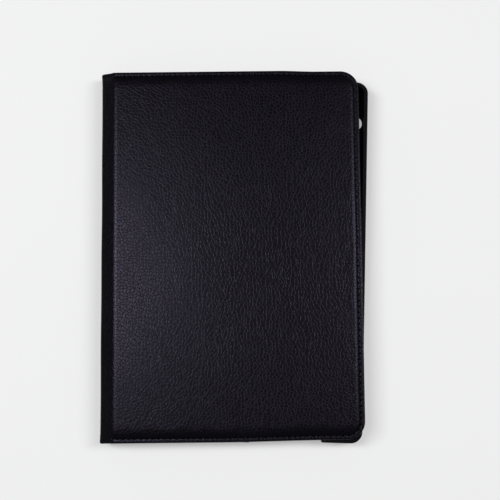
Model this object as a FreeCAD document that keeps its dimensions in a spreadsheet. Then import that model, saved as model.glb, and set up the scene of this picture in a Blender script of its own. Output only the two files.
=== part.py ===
import FreeCAD, Part
import math
import os

import Sketcher
from FreeCAD import Vector

# A folio case for a tablet of about 10 inches, lying on its back and closed.
# Origin: on the swivel axis, in the plane that the rear panel rests on.
# +X points to the closing edge, +Y to the top of the upright tablet, +Z up.
DIMENSIONS = {
    # rear panel and front cover, measured from the swivel axis
    "panel_length": 257.0,
    "panel_left": 88.2,
    "panel_right": 83.8,
    "panel_corner": 12.5,
    "turned_edge": 1.2,
    "fit_play": 0.1,
    # sheets and boards
    "leather": 0.9,
    "board": 2.0,
    "lining": 0.7,
    "crease": 2.4,
    "crease_depth": 0.35,
    "slit_inner": 38.6,
    "slit_outer": 39.3,
    "notch_radius": 9.0,
    "leg_gap": 1.5,
    "flange_gap": 0.3,
    # spine
    "spine_reach": 96.2,
    "spine_bend": 7.0,
    # swivel
    "cap_radius": 34.0,
    "cap_skin": 0.8,
    "cap_board": 0.7,
    "cap_gap": 0.5,
    "ring_bore": 30.0,
    "ring_seat": 34.3,
    "ring_barrel": 36.0,
    "ring_flange": 42.0,
    "ring_ledge_base": 2.5,
    "ring_top": 4.0,
    "hub_radius": 29.7,
    "hub_base": 2.2,
    "retainer_radius": 33.8,
    "washer": 0.22,
    "washer_gap": 0.4,
    "hub_screw_circle": 14.0,
    "retainer_screw_circle": 23.0,
    "screw_radius": 1.25,
    "screw_head": 2.4,
    "screw_head_height": 0.5,
    "screw_play": 0.03,
    "hub_screw_start": 0.6,
    "hub_screw_web": 0.4,
    "retainer_screw_reach": 1.4,
    "retainer_hole_reach": 1.6,
    # tray
    "tray_base": 4.6,
    "tray_width": 174.0,
    "tray_length": 251.9,
    "tray_corner": 8.0,
    "tray_skin": 0.6,
    "tray_floor": 1.4,
    "tray_wall": 1.3,
    "tray_lip": 0.8,
    "tray_lip_height": 1.0,
    "tray_lining": 0.6,
    "tray_lining_gap": 0.4,
    "wrap_drop": 0.4,
    "tray_top": 16.2,
    "tray_turn": -2.3,
    "tray_drop": 1.5,
    "gap_sill": 7.8,
    "gap_foot": 1.4,
    "gap_width": 49.0,
    "tab_width": 13.0,
    "tab_middle": 4.0,
    "tab_bump": 1.4,
    "tab_side": 0.3,
    "tab_drop": 0.6,
    "tab_root": 0.6,
    "camera_across": 78.8,
    "camera_up": 97.0,
    "camera_radius": 5.3,
    # front cover
    "cover_base": 18.6,
    "cover_lining": 0.6,
    "cover_board": 1.6,
    "cover_foam": 1.2,
    "cover_top": 23.0,
    "border": 3.2,
    "border_top": 21.7,
    "foam_inset": 8.0,
    "crown_round": 1.0,
    "crown_overlap": 0.2,
    "ridge_length": 200.0,
    "ridge_width": 6.0,
    "ridge_height": 1.8,
    "ridge_first": 8.0,
    "ridge_pitch": 26.0,
    "magnet_radius": 5.0,
    "magnet": 1.0,
    "magnet_across": 70.0,
    "magnet_up": 60.0,
}
RIDGES = 3
HUB_SCREWS = 4
RETAINER_SCREWS = 6

REAR_TOP = "(dims.leather + dims.board + dims.lining)"
BOARD_TOP = "(dims.leather + dims.board)"
HALF_LENGTH = "dims.panel_length / 2"
TRAY_FLOOR_TOP = "(dims.tray_base + dims.tray_skin + dims.tray_floor)"
TRAY_LIP_BASE = "(dims.tray_top - dims.tray_lip_height)"
SHANK_HOLE = "dims.screw_radius + dims.screw_play"
HEAD_HOLE = "dims.screw_head + dims.screw_play"
COVER_LINING_TOP = "(dims.cover_base + dims.cover_lining)"
COVER_BOARD_TOP = "(dims.cover_base + dims.cover_lining + dims.cover_board)"

# Heights and depths of cuts that pass right through a part.
BELOW = "-1"
THROUGH = "20"

ORIGIN = -1
VERTICAL_AXIS = -2
SLACK = 0.01


def add_dimensions(doc):
    """Spreadsheet with one driving dimension a row."""
    sheet = doc.addObject("Spreadsheet::Sheet", "dims")
    for row, (alias, value) in enumerate(DIMENSIONS.items(), start=1):
        sheet.set("A%d" % row, alias)
        sheet.set("B%d" % row, str(value))
        sheet.setAlias("B%d" % row, alias)
    doc.recompute()
    return sheet


def new_body(doc, label):
    body = doc.addObject("PartDesign::Body", label)
    body.Label = label
    return body


def new_sketch(body, name, role, height):
    """Sketch on a plane of the body's own origin, raised along its normal."""
    planes = [f for f in body.Origin.OriginFeatures if f.Role == role]
    sketch = body.newObject("Sketcher::SketchObject", name)
    sketch.AttachmentSupport = [(planes[0], "")]
    sketch.MapMode = "FlatFace"
    if height:
        sketch.setExpression("AttachmentOffset.Base.z", height)
    return sketch


def bind(sketch, kind, geometry, point, expression, guess):
    """Place a point at a signed distance from the sketch's origin."""
    index = sketch.addConstraint(
        Sketcher.Constraint(kind, ORIGIN, 1, geometry, point, guess))
    sketch.setExpression("Constraints[%d]" % index, expression)


def draw_polygon(sketch, points):
    """Closed polygon whose corners are pairs of expressions."""
    count = len(points)
    spots = []
    for index in range(count):
        turn = 2 * math.pi * index / count - 0.75 * math.pi
        spots.append(Vector(50 * math.cos(turn), 50 * math.sin(turn), 0))
    first = sketch.GeometryCount
    for index in range(count):
        sketch.addGeometry(Part.LineSegment(spots[index], spots[(index + 1) % count]))
    for index in range(count):
        following = first + (index + 1) % count
        sketch.addConstraint(
            Sketcher.Constraint("Coincident", first + index, 2, following, 1))
    for index, (across, up) in enumerate(points):
        bind(sketch, "DistanceX", first + index, 1, across, spots[index].x)
        bind(sketch, "DistanceY", first + index, 1, up, spots[index].y)


def draw_rectangle(sketch, left, right, low, high):
    draw_polygon(sketch, [(left, low), (right, low), (right, high), (left, high)])


def draw_circle(sketch, radius, across=None, up=None):
    """Circle about the sketch's origin, or about a point given by expressions."""
    circle = sketch.addGeometry(Part.Circle(Vector(10, 10, 0), Vector(0, 0, 1), 5))
    index = sketch.addConstraint(Sketcher.Constraint("Radius", circle, 5))
    sketch.setExpression("Constraints[%d]" % index, radius)
    if across is None:
        sketch.addConstraint(Sketcher.Constraint("Coincident", circle, 3, ORIGIN, 1))
        return
    bind(sketch, "DistanceX", circle, 3, across, 10)
    bind(sketch, "DistanceY", circle, 3, up, 10)


def draw_left_half_ring(sketch, inner, outer):
    """Half annulus on the -X side of the sketch's vertical axis."""
    arcs = []
    for radius, guess in ((inner, 20), (outer, 30)):
        shape = Part.ArcOfCircle(
            Part.Circle(Vector(0, 0, 0), Vector(0, 0, 1), guess), math.pi / 2, 1.5 * math.pi)
        arc = sketch.addGeometry(shape)
        arcs.append(arc)
        sketch.addConstraint(Sketcher.Constraint("Coincident", arc, 3, ORIGIN, 1))
        index = sketch.addConstraint(Sketcher.Constraint("Radius", arc, guess))
        sketch.setExpression("Constraints[%d]" % index, radius)
        for end in (1, 2):
            sketch.addConstraint(
                Sketcher.Constraint("PointOnObject", arc, end, VERTICAL_AXIS))
    for end, side in ((1, 1), (2, -1)):
        line = sketch.addGeometry(
            Part.LineSegment(Vector(0, 20 * side, 0), Vector(0, 30 * side, 0)))
        sketch.addConstraint(Sketcher.Constraint("Coincident", line, 1, arcs[0], end))
        sketch.addConstraint(Sketcher.Constraint("Coincident", line, 2, arcs[1], end))


def add_pad(body, sketch, length):
    pad = body.newObject("PartDesign::Pad", sketch.Name + "_pad")
    pad.Profile = sketch
    pad.setExpression("Length", length)
    body.Document.recompute()
    return pad


def add_pocket(body, sketch, depth, upward=False):
    """Cut from the sketch's plane, down unless upward; it must remove something."""
    before = body.Shape.Volume
    pocket = body.newObject("PartDesign::Pocket", sketch.Name + "_pocket")
    pocket.Profile = sketch
    pocket.Reversed = upward
    pocket.setExpression("Length", depth)
    body.Document.recompute()
    if body.Shape.Volume >= before:
        raise RuntimeError(pocket.Name + " cuts nothing")
    return pocket


def cut_rectangle(body, name, sides, height, depth, upward=False):
    sketch = new_sketch(body, name, "XY_Plane", height)
    draw_rectangle(sketch, *sides)
    return add_pocket(body, sketch, depth, upward)


def cut_circle(body, name, radius, centre, height, depth, upward=False):
    sketch = new_sketch(body, name, "XY_Plane", height)
    draw_circle(sketch, radius, *centre)
    return add_pocket(body, sketch, depth, upward)


def round_edges(body, name, radius, chosen):
    """Fillet the straight or curved edges of the body that chosen(edge) accepts."""
    base = body.Tip
    edges = ["Edge%d" % number for number, edge in enumerate(base.Shape.Edges, 1) if chosen(edge)]
    if not edges:
        raise RuntimeError(name + " finds no edges")
    fillet = body.newObject("PartDesign::Fillet", name)
    fillet.Base = (base, edges)
    fillet.setExpression("Radius", radius)
    body.Tip = fillet
    body.Document.recompute()
    if not fillet.isValid():
        raise RuntimeError(name + " fails")


def upright_at(across, up):
    """Picks vertical edges at |y| = up, and at x = across or, if across is a pair, at either."""
    places = across if isinstance(across, tuple) else (across,)

    def chosen(edge):
        box = edge.BoundBox
        if box.XLength > SLACK or box.YLength > SLACK:
            return False
        near_x = any(abs(box.Center.x - place) < SLACK for place in places)
        return near_x and abs(abs(box.Center.y) - up) < SLACK
    return chosen


def cut_camera_notch(body, name, height, depth):
    """U-shaped notch, open at the closing edge, that clears the camera."""
    centre = ("dims.camera_across", "dims.camera_up")
    cut_circle(body, name + "_round", "dims.notch_radius", centre, height, depth, True)
    sides = ("dims.camera_across", "dims.panel_right + 1",
             "dims.camera_up - dims.notch_radius", "dims.camera_up + dims.notch_radius")
    cut_rectangle(body, name + "_mouth", sides, height, depth, True)


def add_polar(body, pocket, sketch, count):
    pattern = body.newObject("PartDesign::PolarPattern", pocket.Name + "_pattern")
    pattern.Originals = [pocket]
    pattern.Axis = (sketch, ["N_Axis"])
    pattern.Angle = 360
    pattern.Occurrences = count
    body.Tip = pattern
    body.Document.recompute()


def add_hole_circle(body, name, radius, circle, count, height, depth):
    """Ring of equal holes about the swivel axis, cut upward from height."""
    sketch = new_sketch(body, name, "XY_Plane", height)
    draw_circle(sketch, radius, circle, "0")
    pocket = add_pocket(body, sketch, depth, True)
    add_polar(body, pocket, sketch, count)


def add_inset_pad(body, name, inset, height, length):
    """Panel outline drawn in by inset, raised from height by length."""
    sketch = new_sketch(body, name, "XY_Plane", height)
    draw_rectangle(sketch, "-(dims.panel_left - %s)" % inset, "dims.panel_right - %s" % inset,
                   "-(%s - %s)" % (HALF_LENGTH, inset), "%s - %s" % (HALF_LENGTH, inset))
    return add_pad(body, sketch, length)


def cut_inset_pocket(body, name, inset, height, depth, upward):
    """Panel outline drawn in by inset, cut out; its closing-edge corners stay concentric."""
    sides = ("-(dims.panel_left - %s)" % inset, "dims.panel_right - %s" % inset,
             "-(%s - %s)" % (HALF_LENGTH, inset), "%s - %s" % (HALF_LENGTH, inset))
    cut_rectangle(body, name, sides, height, depth, upward)


def panel_corner(inset):
    """Picks the closing-edge corners of a panel outline drawn in by inset."""
    across = DIMENSIONS["panel_right"] - inset
    up = DIMENSIONS["panel_length"] / 2 - inset
    return upright_at(across, up)


# ---------------------------------------------------------------- rear panel

def make_rear_skin(doc):
    body = new_body(doc, "rear_skin")
    add_inset_pad(body, "rear_outline", "0", None, REAR_TOP)
    cut_inset_pocket(body, "rear_well", "dims.turned_edge", "dims.leather",
                     "dims.board + dims.lining + 1", True)
    round_edges(body, "rear_well_corners", "dims.panel_corner - dims.turned_edge",
                panel_corner(DIMENSIONS["turned_edge"]))
    round_edges(body, "rear_corners", "dims.panel_corner", panel_corner(0))
    cut_circle(body, "cap_hole", "dims.cap_radius + dims.cap_gap", (), None, "dims.leather", True)
    cut_camera_notch(body, "rear_notch", BELOW, THROUGH)
    sides = ("-dims.crease / 2", "dims.crease / 2", "-%s - 1" % HALF_LENGTH,
             "%s + 1" % HALF_LENGTH)
    cut_rectangle(body, "crease_groove", sides, None, "dims.crease_depth", True)
    slit = new_sketch(body, "leg_slit", "XY_Plane", None)
    draw_left_half_ring(slit, "dims.slit_inner", "dims.slit_outer")
    add_pocket(body, slit, "dims.leather / 2", True)
    return body


def make_holder_board(doc):
    body = new_body(doc, "rear_holder_board")
    sketch = new_sketch(body, "holder_outline", "XY_Plane", "dims.leather")
    draw_rectangle(sketch, "dims.crease / 2", "dims.panel_right - dims.turned_edge",
                   "-(%s - dims.turned_edge)" % HALF_LENGTH, "%s - dims.turned_edge" % HALF_LENGTH)
    add_pad(body, sketch, "dims.board")
    round_edges(body, "holder_corners", "dims.panel_corner - dims.turned_edge",
                panel_corner(DIMENSIONS["turned_edge"]))
    cut_circle(body, "barrel_hole", "dims.ring_barrel + dims.fit_play", (), BELOW, THROUGH, True)
    cut_camera_notch(body, "holder_notch", BELOW, THROUGH)
    return body


def make_leg_board(doc):
    body = new_body(doc, "rear_leg_board")
    sketch = new_sketch(body, "leg_outline", "XY_Plane", "dims.leather")
    draw_rectangle(sketch, "-(dims.panel_left - dims.turned_edge)", "-dims.crease / 2",
                   "-(%s - dims.turned_edge)" % HALF_LENGTH, "%s - dims.turned_edge" % HALF_LENGTH)
    add_pad(body, sketch, "dims.board")
    cut_circle(body, "leg_bite", "dims.ring_flange + dims.leg_gap", (), BELOW, THROUGH, True)
    return body


def make_rear_lining(doc):
    body = new_body(doc, "rear_lining")
    add_inset_pad(body, "lining_outline", "dims.turned_edge", BOARD_TOP, "dims.lining")
    round_edges(body, "lining_corners", "dims.panel_corner - dims.turned_edge",
                panel_corner(DIMENSIONS["turned_edge"]))
    cut_circle(body, "flange_hole", "dims.ring_flange + dims.flange_gap", (), BELOW, THROUGH, True)
    cut_camera_notch(body, "lining_notch", BELOW, THROUGH)
    return body


def make_base_ring(doc):
    """Ring with a barrel through the board, a flange over it and a ledge round its bore."""
    body = new_body(doc, "swivel_base_ring")
    profile = new_sketch(body, "ring_profile", "XZ_Plane", None)
    draw_polygon(profile, [
        ("dims.ring_seat", "dims.leather"),
        ("dims.ring_barrel", "dims.leather"),
        ("dims.ring_barrel", BOARD_TOP),
        ("dims.ring_flange", BOARD_TOP),
        ("dims.ring_flange", "dims.ring_top"),
        ("dims.ring_bore", "dims.ring_top"),
        ("dims.ring_bore", "dims.ring_ledge_base"),
        ("dims.ring_seat", "dims.ring_ledge_base"),
    ])
    turn = body.newObject("PartDesign::Revolution", "ring_turn")
    turn.Profile = profile
    turn.ReferenceAxis = (profile, ["V_Axis"])
    turn.Angle = 360
    doc.recompute()
    return body


# ---------------------------------------------------------------- swivel, turning with the tray

def make_hub(doc):
    body = new_body(doc, "swivel_hub")
    sketch = new_sketch(body, "hub_outline", "XY_Plane", "dims.hub_base")
    draw_circle(sketch, "dims.hub_radius")
    add_pad(body, sketch, "dims.tray_base + dims.tray_skin - dims.hub_base")
    add_hole_circle(body, "hub_screw_holes", SHANK_HOLE, "dims.hub_screw_circle",
                    HUB_SCREWS, "dims.hub_base + dims.hub_screw_web", THROUGH)
    add_hole_circle(body, "retainer_screw_holes", SHANK_HOLE,
                    "dims.retainer_screw_circle", RETAINER_SCREWS, BELOW,
                    "dims.hub_base + dims.retainer_hole_reach - (%s)" % BELOW)
    return body


def make_retainer(doc):
    body = new_body(doc, "swivel_retainer")
    sketch = new_sketch(body, "retainer_outline", "XY_Plane", "dims.cap_skin + dims.cap_board")
    draw_circle(sketch, "dims.retainer_radius")
    add_pad(body, sketch, "dims.hub_base - dims.cap_skin - dims.cap_board")
    add_hole_circle(body, "retainer_holes", SHANK_HOLE, "dims.retainer_screw_circle",
                    RETAINER_SCREWS, BELOW, THROUGH)
    return body


def make_washer(doc):
    body = new_body(doc, "friction_washer")
    sketch = new_sketch(body, "washer_outline", "XY_Plane", "dims.hub_base")
    draw_circle(sketch, "dims.retainer_radius")
    draw_circle(sketch, "dims.hub_radius + dims.washer_gap")
    add_pad(body, sketch, "dims.washer")
    return body


def make_cap_board(doc):
    body = new_body(doc, "disc_cap_board")
    sketch = new_sketch(body, "cap_board_outline", "XY_Plane", "dims.cap_skin")
    draw_circle(sketch, "dims.cap_radius")
    add_pad(body, sketch, "dims.cap_board")
    add_hole_circle(body, "head_holes", HEAD_HOLE, "dims.retainer_screw_circle",
                    RETAINER_SCREWS, BELOW, THROUGH)
    return body


def make_cap_skin(doc):
    disc = doc.addObject("Part::Cylinder", "cap_leather")
    disc.setExpression("Radius", "dims.cap_radius")
    disc.setExpression("Height", "dims.cap_skin")
    disc.Label = "disc_cap_skin"
    return disc


def make_screw(doc, name, head_base, shank_base, shank_height):
    """Pan-head screw standing on the Z axis, head and shank fused."""
    head = doc.addObject("Part::Cylinder", name + "_head")
    head.setExpression("Radius", "dims.screw_head")
    head.setExpression("Height", "dims.screw_head_height")
    head.setExpression("Placement.Base.z", head_base)
    shank = doc.addObject("Part::Cylinder", name + "_shank")
    shank.setExpression("Radius", "dims.screw_radius")
    shank.setExpression("Height", shank_height)
    shank.setExpression("Placement.Base.z", shank_base)
    screw = doc.addObject("Part::Fuse", name)
    screw.Base = head
    screw.Tool = shank
    doc.recompute()
    return screw


def make_screw_ring(doc, label, screw, circle, count):
    """Group of equal screws on a circle about the swivel axis."""
    copies = []
    for index in range(count):
        turn = 2 * math.pi * index / count
        copy = screw.Shape.copy()
        copy.translate(Vector(circle * math.cos(turn), circle * math.sin(turn), 0))
        copies.append(copy)
    group = doc.addObject("Part::Feature", label)
    group.Shape = Part.makeCompound(copies)
    group.Label = label
    return group


def make_hub_screws(doc):
    screw = make_screw(doc, "hub_screw", TRAY_FLOOR_TOP + " - dims.screw_head_height",
                       "dims.hub_base + dims.hub_screw_start",
                       TRAY_FLOOR_TOP + " - dims.screw_head_height - dims.hub_base"
                       " - dims.hub_screw_start")
    return make_screw_ring(doc, "hub_screws", screw, DIMENSIONS["hub_screw_circle"], HUB_SCREWS)


def make_retainer_screws(doc):
    screw = make_screw(doc, "retainer_screw",
                       "dims.cap_skin + dims.cap_board - dims.screw_head_height",
                       "dims.cap_skin + dims.cap_board",
                       "dims.hub_base + dims.retainer_screw_reach - dims.cap_skin - dims.cap_board")
    return make_screw_ring(doc, "retainer_screws", screw,
                           DIMENSIONS["retainer_screw_circle"], RETAINER_SCREWS)


# ---------------------------------------------------------------- tray

def tray_corner(inset):
    """Picks the four corners of the tray's outline drawn in by inset."""
    across = DIMENSIONS["tray_width"] / 2 - inset
    up = DIMENSIONS["tray_length"] / 2 - inset
    return upright_at((across, -across), up)


def tray_sides(inset):
    half = "(dims.tray_width / 2 - %s)" % inset
    end = "(dims.tray_length / 2 - %s)" % inset
    return "-" + half, half, "-" + end, end


def cut_rim_gap(body, name, left, right, side):
    """Opening in the tray's end wall, from the sill up; side is -1 at the bottom end."""
    ends = ["%d * (dims.tray_length / 2 - 6)" % side, "%d * (dims.tray_length / 2 + 1)" % side]
    if side < 0:
        ends.reverse()
    cut_rectangle(body, name, (left, right, ends[0], ends[1]), "dims.gap_sill", THROUGH, True)


def cut_rim_gaps(body, name, side):
    """A gap each side of the middle tab."""
    reach = "(dims.tab_width / 2 + dims.gap_width)"
    cut_rim_gap(body, name + "_left", "dims.tab_middle - " + reach,
                "dims.tab_middle - dims.tab_width / 2", side)
    cut_rim_gap(body, name + "_right", "dims.tab_middle + dims.tab_width / 2",
                "dims.tab_middle + " + reach, side)


def cut_gap_feet(body, name):
    """The wall's foot is set back under both gaps of the bottom end, so that plugs reach in."""
    reach = "(dims.tab_width / 2 + dims.gap_width)"
    ends = ("-(dims.tray_length / 2 + 1)", "-(dims.tray_length / 2 - dims.gap_foot)")
    cut_rectangle(body, name + "_left", ("dims.tab_middle - " + reach,
                  "dims.tab_middle - dims.tab_width / 2") + ends, BELOW, THROUGH, True)
    cut_rectangle(body, name + "_right", ("dims.tab_middle + dims.tab_width / 2",
                  "dims.tab_middle + " + reach) + ends, BELOW, THROUGH, True)


def cut_camera_hole(body, name):
    """Hole that comes over the rear panel's notch when the tray is squared up with it."""
    centre = ("dims.camera_across", "dims.camera_up + dims.tray_drop")
    cut_circle(body, name, "dims.camera_radius", centre, BELOW, THROUGH, True)


def make_tray_skin(doc):
    body = new_body(doc, "tray_skin")
    sketch = new_sketch(body, "wrap_outline", "XY_Plane", "dims.tray_base")
    draw_rectangle(sketch, *tray_sides("0"))
    add_pad(body, sketch, "dims.tray_top - dims.wrap_drop - dims.tray_base")
    cut_rectangle(body, "wrap_well", tray_sides("dims.tray_skin"),
                  "dims.tray_base + dims.tray_skin", THROUGH, True)
    round_edges(body, "wrap_well_corners", "dims.tray_corner - dims.tray_skin",
                tray_corner(DIMENSIONS["tray_skin"]))
    round_edges(body, "wrap_corners", "dims.tray_corner", tray_corner(0))
    cut_circle(body, "hub_window", "dims.hub_radius + dims.fit_play", ("0", "dims.tray_drop"),
               BELOW, THROUGH, True)
    cut_camera_hole(body, "wrap_camera")
    reach = "(dims.tab_width / 2 + dims.gap_width)"
    for name, side in (("wrap_gap_bottom", -1), ("wrap_gap_top", 1)):
        cut_rim_gap(body, name, "dims.tab_middle - " + reach, "dims.tab_middle + " + reach, side)
    cut_gap_feet(body, "wrap_foot")
    return body


def make_tray_shell(doc):
    """Snap-in shell: floor, walls and an inward lip, with gaps at both ends for the ports."""
    skin = DIMENSIONS["tray_skin"]
    wall = skin + DIMENSIONS["tray_wall"]
    lip = wall + DIMENSIONS["tray_lip"]
    inner_corner = "dims.tray_corner - dims.tray_skin - dims.tray_wall"
    body = new_body(doc, "tray_shell")
    sketch = new_sketch(body, "shell_outline", "XY_Plane", "dims.tray_base + dims.tray_skin")
    draw_rectangle(sketch, *tray_sides("dims.tray_skin"))
    add_pad(body, sketch, "dims.tray_top - dims.tray_base - dims.tray_skin")
    cut_rectangle(body, "shell_mouth",
                  tray_sides("dims.tray_skin - dims.tray_wall - dims.tray_lip"),
                  TRAY_LIP_BASE, THROUGH, True)
    round_edges(body, "mouth_corners", inner_corner + " - dims.tray_lip", tray_corner(lip))
    cut_rectangle(body, "shell_cavity", tray_sides("dims.tray_skin - dims.tray_wall"),
                  TRAY_FLOOR_TOP, TRAY_LIP_BASE + " - " + TRAY_FLOOR_TOP, True)
    round_edges(body, "cavity_corners", inner_corner, tray_corner(wall))
    round_edges(body, "shell_corners", "dims.tray_corner - dims.tray_skin", tray_corner(skin))
    for name, side in (("gap_bottom", -1), ("gap_top", 1)):
        cut_rim_gaps(body, name, side)
    cut_gap_feet(body, "gap_foot")
    tab = new_sketch(body, "tab_outline", "XY_Plane", "dims.gap_sill")
    draw_rectangle(tab, "dims.tab_middle - dims.tab_width / 2 + dims.tab_side",
                   "dims.tab_middle + dims.tab_width / 2 - dims.tab_side",
                   "-(dims.tray_length / 2 + dims.tab_bump)",
                   "-(dims.tray_length / 2 - dims.tray_skin - dims.tab_root)")
    add_pad(body, tab, "dims.tray_top - dims.tab_drop - dims.gap_sill")
    cut_camera_hole(body, "shell_camera")
    for index in range(HUB_SCREWS):
        turn = 360 * index / HUB_SCREWS
        across = "dims.hub_screw_circle * cos(%g)" % turn
        up = "dims.hub_screw_circle * sin(%g) + dims.tray_drop" % turn
        cut_circle(body, "shank_hole_%d" % index, SHANK_HOLE, (across, up),
                   BELOW, THROUGH, True)
        cut_circle(body, "head_sink_%d" % index, HEAD_HOLE, (across, up),
                   TRAY_FLOOR_TOP + " - dims.screw_head_height", THROUGH, True)
    return body


def make_tray_lining(doc):
    body = new_body(doc, "tray_lining")
    inset = "dims.tray_skin - dims.tray_wall - dims.tray_lining_gap"
    sketch = new_sketch(body, "tray_lining_outline", "XY_Plane", TRAY_FLOOR_TOP)
    draw_rectangle(sketch, *tray_sides(inset))
    add_pad(body, sketch, "dims.tray_lining")
    wall = DIMENSIONS["tray_skin"] + DIMENSIONS["tray_wall"] + DIMENSIONS["tray_lining_gap"]
    round_edges(body, "tray_lining_corners", "dims.tray_corner - dims.tray_skin - dims.tray_wall",
                tray_corner(wall))
    cut_camera_hole(body, "lining_camera")
    return body


# ---------------------------------------------------------------- spine

def spine_edge(inset):
    """Picks the two long outer edges of the spine's section drawn in by inset."""
    across = -(DIMENSIONS["spine_reach"] - inset)
    low = inset
    high = DIMENSIONS["cover_top"] - inset

    def chosen(edge):
        box = edge.BoundBox
        if box.XLength > SLACK or box.ZLength > SLACK or box.YLength < SLACK:
            return False
        at_height = min(abs(box.Center.z - low), abs(box.Center.z - high)) < SLACK
        return abs(box.Center.x - across) < SLACK and at_height
    return chosen


def make_spine_sheet(doc, label, outer, inner):
    """Sheet bent round the spine: outer and inner are its faces' distances from the outside."""
    body = new_body(doc, label)
    shell = new_sketch(body, label + "_outline", "XY_Plane", "dims." + outer if outer else None)
    depth = "dims.%s" % outer if outer else "0"
    inner_depth = depth + " + dims." + inner
    draw_rectangle(shell, "-(dims.spine_reach - %s)" % depth, "-dims.panel_left",
                   "-" + HALF_LENGTH, HALF_LENGTH)
    add_pad(body, shell, "dims.cover_top - 2 * (%s)" % depth)
    outer_inset = DIMENSIONS[outer] if outer else 0.0
    inner_inset = outer_inset + DIMENSIONS[inner]
    sides = ("-(dims.spine_reach - (%s))" % inner_depth, "-dims.panel_left + 1",
             "-%s - 1" % HALF_LENGTH, "%s + 1" % HALF_LENGTH)
    cut_rectangle(body, label + "_hollow", sides, inner_depth,
                  "dims.cover_top - 2 * (%s)" % inner_depth, True)
    round_edges(body, label + "_inner_bends", "dims.spine_bend - (%s)" % inner_depth,
                spine_edge(inner_inset))
    round_edges(body, label + "_bends", "dims.spine_bend - (%s)" % depth,
                spine_edge(outer_inset))
    return body


# ---------------------------------------------------------------- front cover

def make_front_skin(doc):
    """Padded leather: a flat stitched border with a crowned panel, hollow below for the boards."""
    body = new_body(doc, "front_skin")
    add_inset_pad(body, "cover_outline", "0", "dims.cover_base",
                  "dims.border_top - dims.cover_base")
    add_inset_pad(body, "crown_outline", "dims.border", "dims.border_top - dims.crown_overlap",
                  "dims.cover_top - dims.border_top + dims.crown_overlap")
    round_edges(body, "crown_corners", "dims.panel_corner - dims.border",
                panel_corner(DIMENSIONS["border"]))
    top = DIMENSIONS["cover_top"]
    round_edges(body, "crown_rim", "dims.crown_round",
                lambda edge: edge.BoundBox.ZLength < SLACK and abs(edge.BoundBox.ZMin - top) < SLACK)
    cut_inset_pocket(body, "board_well", "dims.turned_edge", "dims.cover_base",
                     "dims.cover_lining + dims.cover_board", True)
    round_edges(body, "board_well_corners", "dims.panel_corner - dims.turned_edge",
                panel_corner(DIMENSIONS["turned_edge"]))
    round_edges(body, "cover_corners", "dims.panel_corner", panel_corner(0))
    cut_inset_pocket(body, "foam_well", "dims.foam_inset", COVER_BOARD_TOP,
                     "dims.cover_foam", True)
    return body


def make_front_foam(doc):
    body = new_body(doc, "front_foam")
    add_inset_pad(body, "foam_outline", "dims.foam_inset", COVER_BOARD_TOP, "dims.cover_foam")
    return body


def make_front_board(doc):
    body = new_body(doc, "front_board")
    add_inset_pad(body, "board_outline", "dims.turned_edge", COVER_LINING_TOP,
                  "dims.cover_board")
    round_edges(body, "board_corners", "dims.panel_corner - dims.turned_edge",
                panel_corner(DIMENSIONS["turned_edge"]))
    for name, side in (("magnet_seat_low", -1), ("magnet_seat_high", 1)):
        centre = ("dims.magnet_across", "%d * dims.magnet_up" % side)
        cut_circle(body, name, "dims.magnet_radius", centre, COVER_LINING_TOP,
                   "dims.magnet", True)
    return body


def make_front_lining(doc):
    body = new_body(doc, "front_lining")
    add_inset_pad(body, "front_lining_outline", "dims.turned_edge", "dims.cover_base",
                  "dims.cover_lining")
    round_edges(body, "front_lining_corners", "dims.panel_corner - dims.turned_edge",
                panel_corner(DIMENSIONS["turned_edge"]))
    return body


def make_magnets(doc):
    """Two magnets let into the board near the closing edge."""
    discs = []
    base = DIMENSIONS["cover_base"] + DIMENSIONS["cover_lining"]
    for side in (-1, 1):
        centre = Vector(DIMENSIONS["magnet_across"], side * DIMENSIONS["magnet_up"], base)
        discs.append(Part.makeCylinder(DIMENSIONS["magnet_radius"], DIMENSIONS["magnet"], centre))
    group = doc.addObject("Part::Feature", "cover_magnets")
    group.Shape = Part.makeCompound(discs)
    group.Label = "cover_magnets"
    return group


def make_ridges(doc):
    """Bars under the cover, parallel to the spine, with their lower long edges rounded."""
    bars = []
    length = DIMENSIONS["ridge_length"]
    width = DIMENSIONS["ridge_width"]
    height = DIMENSIONS["ridge_height"]
    top = DIMENSIONS["cover_base"]
    for index in range(RIDGES):
        left = DIMENSIONS["ridge_first"] + index * DIMENSIONS["ridge_pitch"] - width / 2
        bar = Part.makeBox(width, length, height, Vector(left, -length / 2, top - height))
        low_edges = [edge for edge in bar.Edges if edge.BoundBox.ZMax < top - height + SLACK]
        bars.append(bar.makeFillet(height / 2, low_edges))
    group = doc.addObject("Part::Feature", "stand_ridges")
    group.Shape = Part.makeCompound(bars)
    group.Label = "stand_ridges"
    return group


# ---------------------------------------------------------------- assembly

def turn_with_tray(parts, drop):
    """Turn parts about the swivel axis; drop moves the tray's middle off that axis."""
    for part in parts:
        rotation = FreeCAD.Rotation(Vector(0, 0, 1), DIMENSIONS["tray_turn"])
        part.Placement = FreeCAD.Placement(rotation.multVec(Vector(0, -drop, 0)), rotation)


def check_document(doc, parts):
    """Stop if any object failed, or a sub-part has no valid solid."""
    doc.recompute()
    for item in doc.Objects:
        if "Invalid" in item.State or "Error" in item.State:
            raise RuntimeError("%s is %s" % (item.Name, item.State))
    for part in parts:
        shape = part.Shape
        if shape.isNull() or not shape.isValid() or not shape.Solids:
            raise RuntimeError(part.Label + " has no valid solid")


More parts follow.
